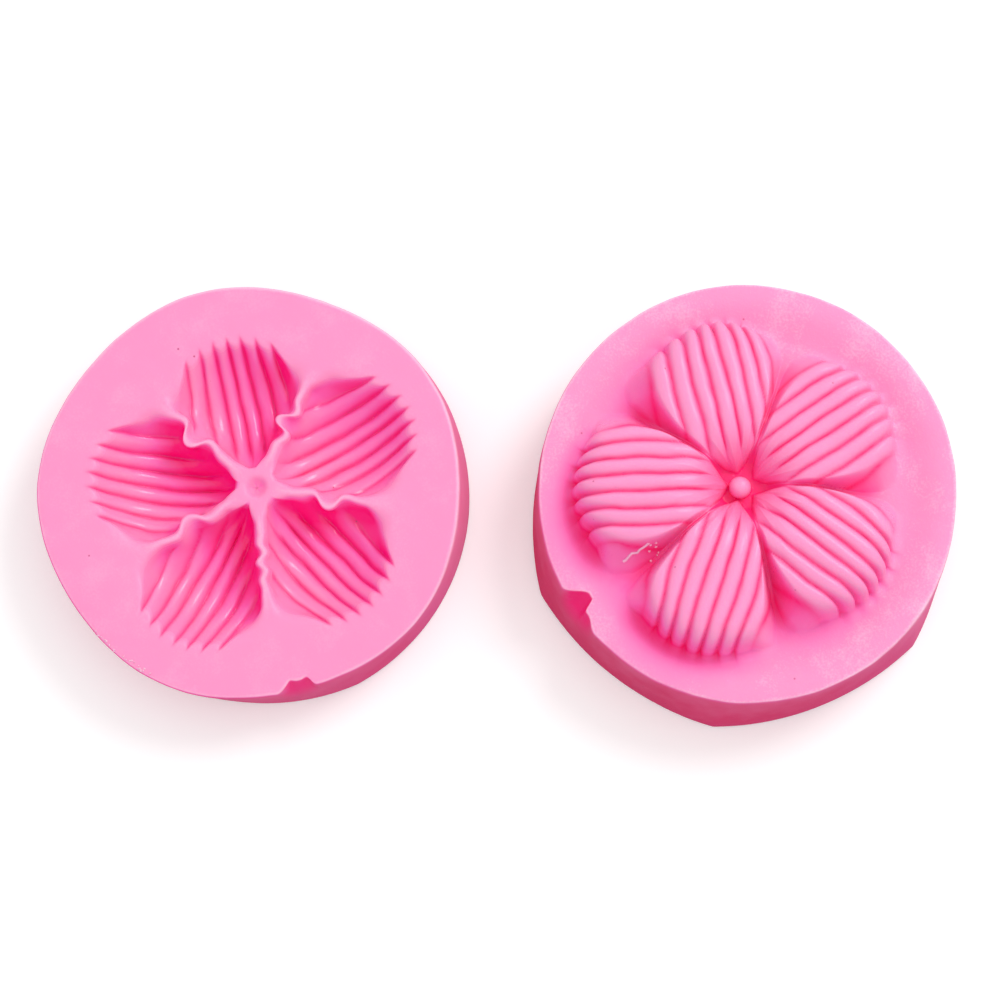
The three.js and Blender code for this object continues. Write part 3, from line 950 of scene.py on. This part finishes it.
# %% The shared finish group
CLOUD, GRAIN, RARE = (160, 3.0), (2600, 7.0), (90, 11.0)  # the scale and the seed of each noise
CLOUD_DETAIL, GRAIN_DETAIL = 4.0, 3.0
FOOT_DEEPENING = 0.55  # how much more painted shade a shaded plain face, as at a petal's foot, takes than a shaded side
SHADE_SPAN, DEEP_SHADE_SPAN = (0.05, 0.75), (0.7, 1.35)  # amounts of painted shade over which the shade colour and the deep colour come in
LIT_WALL = 0.45  # how far the light share takes the wall's painted shade back to the face colour
PALE_WALL_PATCHES = 0.3  # how far the pale patches in the wall's painted shade go back towards the face colour
PATCH_HEIGHTS, PATCH_RISE, PATCH_CLOUD, PATCH_START = (0.002, 0.014), 0.7, 1.6, 0.15
POWDER_SHADE = (0.4, 0.1)  # amounts of painted shade over which the powder and the painted highlight of rims and webs fade out
# the powder's share of cloud, how much less of it the walls take, and the strength of the painted highlight
# on rims and web crests, which the crumbs take too
POWDER_CLOUDS, POWDERLESS_WALL, RIM_PALENESS = 2, 0.8, 0.5
PIT_SCALE, PIT_SIZE, PIT_RARITY = 260, (0.06, 0.03), (0.03, 0.07)
CLOUD_ROUGH, GRAIN_ROUGH, PLAIN_ROUGH, WALL_ROUGH = 0.12, 0.08, 0.25, 0.9
CLOUD_RELIEF, PIT_RELIEF = 0.3, 1.5
# The shade, deep and wall colours are painted shade; one input sets how strongly it comes in, another how
# dark its lines in grooves and creases are.
FINISH_INPUTS = {
    "NodeSocketColor": ["Face Colour", "Shade Colour", "Deep Colour", "Wall Colour"],
    "NodeSocketFloat": ["Mottle", "Grain", "Pits", "Depth", "Vein", "Roughness"],
}
FINISH_OUTPUTS = {"NodeSocketColor": ["Colour"], "NodeSocketFloat": ["Roughness", "Height"]}


def colour(red, green, blue):
    """An sRGB colour, given in steps of 255, as the linear colour that nodes take."""
    shares = [value / 255 for value in (red, green, blue)]
    linear = [share / 12.92 if share <= 0.04045 else ((share + 0.055) / 1.055) ** 2.4 for share in shares]
    return linear + [1]


POWDER_AND_HIGHLIGHT_COLOUR, PIT_COLOUR = colour(255, 214, 234), colour(190, 60, 110)


def blend(share, first, second):
    """The first colour where the share is 0, the second where it is 1."""
    node = place(share.tree, "ShaderNodeMix", data_type="RGBA")
    colours = [socket for socket in node.inputs if socket.type == "RGBA"]
    for socket, value in ((node.inputs[0], share), (colours[0], first), (colours[1], second)):
        feed(share.tree, value, socket)
    return next(socket for socket in node.outputs if socket.type == "RGBA")


def finish_group():
    """The group that turns the masks in the mesh into a colour with painted shade and highlights, a roughness
    and a fine relief.
    """
    tree = bpy.data.node_groups.new("cast silicone", "ShaderNodeTree")
    for direction, sockets in (("INPUT", FINISH_INPUTS), ("OUTPUT", FINISH_OUTPUTS)):
        for kind, names in sockets.items():
            for name in names:
                tree.interface.new_socket(name, in_out=direction, socket_type=kind)
    entry, out = tree.nodes.new("NodeGroupInput"), tree.nodes.new("NodeGroupOutput")
    value = {name: Field(entry.outputs[name]) for names in FINISH_INPUTS.values() for name in names}
    mask = {
        name: Field(place(tree, "ShaderNodeAttribute", attribute_name=name).outputs["Fac"])
        for name in ("sky", "plain", "vein", "wall", "rim")
    }
    where = tree.nodes.new("ShaderNodeTexCoord").outputs["Object"]
    cloud, _ = noise(tree, where, *CLOUD, detail=CLOUD_DETAIL)
    grain, _ = noise(tree, where, *GRAIN, detail=GRAIN_DETAIL)

    # painted shade: the less light from the window's side reaches a point, the more it turns to the shade
    # colour, then the deep colour
    deep = (1 - mask["sky"]) * value["Depth"] * (mask["plain"] * FOOT_DEEPENING + 1)
    paint = blend(span(deep, *SHADE_SPAN), value["Face Colour"], value["Shade Colour"])
    paint = blend(span(deep, *DEEP_SHADE_SPAN), paint, value["Deep Colour"])
    # painted shade in lines along the grooves, and in the creases, the bead's pocket, the dimple and the nick
    paint = blend(mask["vein"] * value["Vein"], paint, value["Deep Colour"])
    # painted shade on the walls, lifted where much light reaches
    paint = blend(mask["wall"] * (1 - mask["sky"] * LIT_WALL), paint, value["Wall Colour"])
    _, _, height = parts_of(tree, where)
    # paler patches in the wall's painted shade, at random and more towards the top
    pale_patch = clamp(cloud * PATCH_CLOUD + span(height, *PATCH_HEIGHTS) * PATCH_RISE - PATCH_START)
    paint = blend(pale_patch * mask["wall"] * PALE_WALL_PATCHES, paint, value["Face Colour"])
    powder = cloud * value["Mottle"] * POWDER_CLOUDS + grain * value["Grain"]
    powder = powder * mask["plain"] * (1 - mask["wall"] * POWDERLESS_WALL)
    # powder on the plain faces and a painted highlight on rims and web crests, both gone in painted shade
    pale = clamp(powder + mask["rim"] * RIM_PALENESS) * span(deep, *POWDER_SHADE)
    paint = blend(pale, paint, POWDER_AND_HIGHLIGHT_COLOUR)
    cells = place(tree, "ShaderNodeTexVoronoi", {"Vector": where, "Scale": PIT_SCALE, "Randomness": 1})
    pit = span(Field(cells.outputs["Distance"]), *PIT_SIZE) * value["Pits"]
    pit = pit * span(noise(tree, where, *RARE)[0], *PIT_RARITY)
    feed(tree, blend(pit, paint, PIT_COLOUR), out.inputs["Colour"])

    rough = value["Roughness"] + cloud * CLOUD_ROUGH + grain * GRAIN_ROUGH + mask["plain"] * PLAIN_ROUGH
    feed(tree, mix(rough, WALL_ROUGH, mask["wall"]), out.inputs["Roughness"])
    feed(tree, grain * value["Grain"] + cloud * CLOUD_RELIEF - pit * PIT_RELIEF, out.inputs["Height"])
    return tree


finish_tree = finish_group()
print(finish_tree.name, "has", len(finish_tree.nodes), "nodes")

# %% [markdown]
# The cavity half is smoother and glossier than the raised half, which has more powder on its dish. A little
# light scatters under the surface, red light furthest, as it does in soft silicone.

# %% The two silicones
BUMP_STRENGTH, BUMP_HEIGHT = 0.25, 0.0002
SCATTER_SHARE, SCATTER_REACH, SCATTER_COLOURS = 0.12, 0.0015, (1.0, 0.15, 0.3)


def silicone(name, gloss, **finish):
    """A material that takes its colour and relief from the shared finish group."""
    material = bpy.data.materials.new(name)
    material.use_nodes = True
    tree = material.node_tree
    shader = tree.nodes["Principled BSDF"]
    group = place(tree, "ShaderNodeGroup", node_tree=finish_tree)
    for label, value in finish.items():
        feed(tree, value, group.inputs[label.replace("_", " ").title()])
    inputs = {"Strength": BUMP_STRENGTH, "Distance": BUMP_HEIGHT, "Height": group.outputs["Height"]}
    bump = place(tree, "ShaderNodeBump", inputs)
    feed(tree, group.outputs["Colour"], shader.inputs["Base Color"])
    feed(tree, group.outputs["Roughness"], shader.inputs["Roughness"])
    feed(tree, bump.outputs["Normal"], shader.inputs["Normal"])
    shader.inputs["Specular IOR Level"].default_value = gloss
    shader.inputs["Subsurface Weight"].default_value = SCATTER_SHARE
    shader.inputs["Subsurface Radius"].default_value = SCATTER_COLOURS
    shader.inputs["Subsurface Scale"].default_value = SCATTER_REACH
    return material


cavity_silicone = silicone(
    "cavity_silicone",
    gloss=0.5,
    face_colour=colour(254, 145, 195),
    # the shade, deep and wall colours here are painted shade, and depth sets how strongly it comes in
    shade_colour=colour(255, 108, 190),
    deep_colour=colour(255, 8, 130),
    wall_colour=colour(232, 84, 138),
    depth=1.9,
    vein=0.8,
    mottle=0.25,
    grain=0.3,
    pits=0.8,
    roughness=0.22,
)
raised_silicone = silicone(
    "raised_silicone",
    gloss=0.35,
    face_colour=colour(254, 150, 199),
    # the shade, deep and wall colours here are painted shade, and depth sets how strongly it comes in
    shade_colour=colour(255, 108, 186),
    deep_colour=colour(255, 4, 122),
    wall_colour=colour(224, 60, 112),
    depth=1.05,
    vein=0.95,
    mottle=0.6,
    grain=1,
    pits=0.6,
    roughness=0.3,
)
print("finishes:", cavity_silicone.name, "and", raised_silicone.name)

# %% [markdown]
# ## From sectors to a disc
# A disc's tree places its sector group five times, joins the five and merges the points along the webs.
# Then come the curls, a slow unevenness of all surfaces and a slight softening, the mask of the light, and
# the crumbs. The crumbs join after the mask, so they throw no dark spots on it.

# %% The trees of the two discs
MERGE_DISTANCE = 0.001
MILLIMETRE = 0.001
SOFTEN_STEPS, SOFTEN_WEIGHT = 2, 0.25
UNEVEN_SCALE = 0.11
UNEVEN_START = 3  # height above the table over which the unevenness comes in, so that the back stays flat


def group_of(tree, group_tree, inputs):
    """A group placed in a tree, and what it makes."""
    group = place(tree, "GeometryNodeGroup", inputs, node_tree=group_tree)
    return group.outputs["Geometry"]


def uneven(tree, geometry, position, amount, seed):
    """A geometry with slow unevenness and a slight softening."""
    _, _, height = parts_of(tree, position)
    _, sway = noise(tree, position, UNEVEN_SCALE, seed)
    centred = vector_math(tree, "SUBTRACT", sway, (0.5, 0.5, 0.5))
    offset = vector_math(tree, "SCALE", centred, amount * clamp(height / UNEVEN_START) * 2)
    geometry = through(tree, geometry, "GeometryNodeSetPosition", {"Offset": offset})
    inputs = {"Value": position, "Iterations": SOFTEN_STEPS, "Weight": SOFTEN_WEIGHT}
    softened = place(tree, "GeometryNodeBlurAttribute", inputs, data_type="FLOAT_VECTOR").outputs["Value"]
    return through(tree, geometry, "GeometryNodeSetPosition", {"Position": softened})


def disc_tree(half, sector, petals, sizes, curls, material):
    """The tree of a whole disc, in metres and in place."""
    tree, values, out = new_tree(half.name, sizes | {"Unevenness": 0.3, "Seed": 1.0})
    shared = {size: values[size] for size in sizes}
    geometry = join(tree, [group_of(tree, sector, petal | shared) for petal in petals])
    geometry = through(tree, geometry, "GeometryNodeMergeByDistance", {"Distance": MERGE_DISTANCE})
    for curl in curls:
        geometry = group_of(tree, web_curl_tree, curl | {"Face": half.thickness, "Geometry": geometry})
    position = position_of(tree)
    geometry = uneven(tree, geometry, position, values["Unevenness"], values["Seed"])
    # the light share, from which the finish paints shade
    lit = keep(tree, geometry, "sky", sky_share(tree, geometry, position))

    scraps = [crumbs(tree, geometry, half.crumbs)]
    scraps += [shred(tree, geometry, strand) for strand in half.shreds]
    # crumbs and shreds are pale all over and take no painted shade
    pale = keep(tree, keep(tree, join(tree, scraps), "rim", 1), "sky", 1)
    geometry = join(tree, [pale, lit])
    geometry = through(tree, geometry, "GeometryNodeSetShadeSmooth", {"Shade Smooth": True})
    inputs = {"Translation": half.origin, "Scale": (MILLIMETRE, MILLIMETRE, MILLIMETRE)}
    geometry = through(tree, geometry, "GeometryNodeTransform", inputs)
    geometry = through(tree, geometry, "GeometryNodeRealizeInstances")
    geometry = through(tree, geometry, "GeometryNodeSetMaterial", {"Material": material})
    feed(tree, geometry, out.inputs["Geometry"])
    return tree


cavity_disc = disc_tree(cavity_half, cavity_tree, sunk_petals, CAVITY_SIZES, WEB_CURLS, cavity_silicone)
raised_disc = disc_tree(raised_half, raised_tree, raised_petals, RAISED_SIZES, [], raised_silicone)
print("trees:", cavity_disc.name, "and", raised_disc.name)

# %% [markdown]
# ## Making the two meshes
# Each disc's tree runs once on an empty object. new_from_object turns the evaluated result into a plain
# mesh, and the finished piece rides on its body and stands for its solid.

# %% Build, convert and hand over both discs


def disc_mesh(half, tree, values):
    """The mesh that a disc's tree makes with these values."""
    source = bpy.data.objects.new(half.name + " source", bpy.data.meshes.new(half.name + " source"))
    bpy.context.scene.collection.objects.link(source)
    modifier = source.modifiers.new("disc", "NODES")
    modifier.node_group = tree
    labels = {item.name: item.identifier for item in tree.interface.items_tree if item.in_out == "INPUT"}
    for name, value in values.items():
        modifier[labels[name]] = value
    depsgraph = bpy.context.evaluated_depsgraph_get()
    mesh = bpy.data.meshes.new_from_object(source.evaluated_get(depsgraph), depsgraph=depsgraph)
    source.modifiers.remove(modifier)
    bpy.data.objects.remove(source)
    return mesh


def volume_of(mesh):
    """The volume inside a closed mesh, in cubic centimetres. It is positive if all faces look outward."""
    triangles = ([mesh.vertices[index].co for index in face.vertices] for face in mesh.loop_triangles)
    return sum(a.dot(b.cross(c)) / 6 for a, b, c in triangles) * 1e6


def build_disc(half, tree, values, body):
    """The finished piece of one disc, in place."""
    mesh = disc_mesh(half, tree, values)
    piece = bpy.data.objects.new(body + "_silicone", mesh)
    bpy.context.scene.collection.objects.link(piece)
    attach(piece, body)
    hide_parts(body)
    mesh.calc_loop_triangles()
    volume = round(volume_of(mesh), 1)
    print(piece.name, len(mesh.loop_triangles), "triangles,", volume, "cubic centimetres")


cavity_values = CAVITY_SIZES | {"Unevenness": 0.25, "Seed": 1.0}
raised_values = RAISED_SIZES | {"Unevenness": 0.3, "Seed": 5.0}
build_disc(cavity_half, cavity_disc, cavity_values, "cavity_half")
build_disc(raised_half, raised_disc, raised_values, "raised_half")

# %% [markdown]
# ## Table, light and camera
# The pair lies on a white table in soft light, with the window on the right behind it. The camera sees the
# table nearly white, with a faint glow that lets only the shadows close to the discs show. All other rays
# meet a plain grey table without a glow, so that it throws little light back under the walls.

# %% The table
TABLE_SIZE = 3.0
TABLE_TONE, TABLE_SEEN, TABLE_GLOW = 0.55, 0.88, 0.22  # its grey, its tone for the camera, and its glow
half_side = TABLE_SIZE / 2
corners = [(x * half_side, y * half_side, 0) for x, y in ((-1, -1), (1, -1), (1, 1), (-1, 1))]
table_mesh = bpy.data.meshes.new("table")
table_mesh.from_pydata(corners, [], [(0, 1, 2, 3)])
table = bpy.data.objects.new("table", table_mesh)
bpy.context.scene.collection.objects.link(table)

table_material = bpy.data.materials.new("white table")
table_material.use_nodes = True
nodes = table_material.node_tree
shader = nodes.nodes["Principled BSDF"]
shader.inputs["Roughness"].default_value = 0.9
shader.inputs["Specular IOR Level"].default_value = 0.1
seen = Field(nodes.nodes.new("ShaderNodeLightPath").outputs["Is Camera Ray"])
feed(nodes, seen * (TABLE_SEEN - TABLE_TONE) + TABLE_TONE, shader.inputs["Base Color"])
glow = place(nodes, "ShaderNodeEmission", {"Color": seen, "Strength": TABLE_GLOW})
whole = nodes.nodes.new("ShaderNodeAddShader")
feed(nodes, shader.outputs[0], whole.inputs[0])
feed(nodes, glow.outputs[0], whole.inputs[1])
feed(nodes, whole.outputs[0], nodes.nodes["Material Output"].inputs["Surface"])
table_mesh.materials.append(table_material)
print("table of", TABLE_SIZE, "m")

# %% The lights
WINDOW_SIZE, WINDOW_POWER = 0.5, 4
ROOM_LIGHT = 0.88

window_data = bpy.data.lights.new("window", "AREA")
window_data.shape = "DISK"
window_data.size = WINDOW_SIZE
window_data.energy = WINDOW_POWER
window = bpy.data.objects.new("window", window_data)
window.location = WINDOW
window.rotation_mode = "QUATERNION"
window.rotation_quaternion = (-WINDOW).to_track_quat("-Z", "Y")
bpy.context.scene.collection.objects.link(window)

world = bpy.data.worlds.new("room")
world.use_nodes = True
background = world.node_tree.nodes["Background"]
background.inputs["Color"].default_value = (1, 1, 1, 1)
background.inputs["Strength"].default_value = ROOM_LIGHT
bpy.context.scene.world = world
bpy.context.scene.view_settings.view_transform = "Standard"
print("lamps:", [lamp.name for lamp in bpy.data.lights])

# %% The camera
CAMERA_ELEVATION = math.radians(77)
CAMERA_DISTANCE = 0.5
CAMERA_TARGET = Vector((0.0006, -0.0020, 0.0135))
camera_data = bpy.data.cameras.new("photo camera")
camera_data.lens = 108
camera_data.sensor_width = 36
camera = bpy.data.objects.new("photo camera", camera_data)
towards = Vector((0, -math.cos(CAMERA_ELEVATION), math.sin(CAMERA_ELEVATION)))
camera.location = CAMERA_TARGET + towards * CAMERA_DISTANCE
camera.rotation_euler = (math.radians(90) - CAMERA_ELEVATION, 0, 0)
bpy.context.scene.collection.objects.link(camera)
bpy.context.scene.camera = camera
print("camera at", [round(x, 3) for x in camera.location])
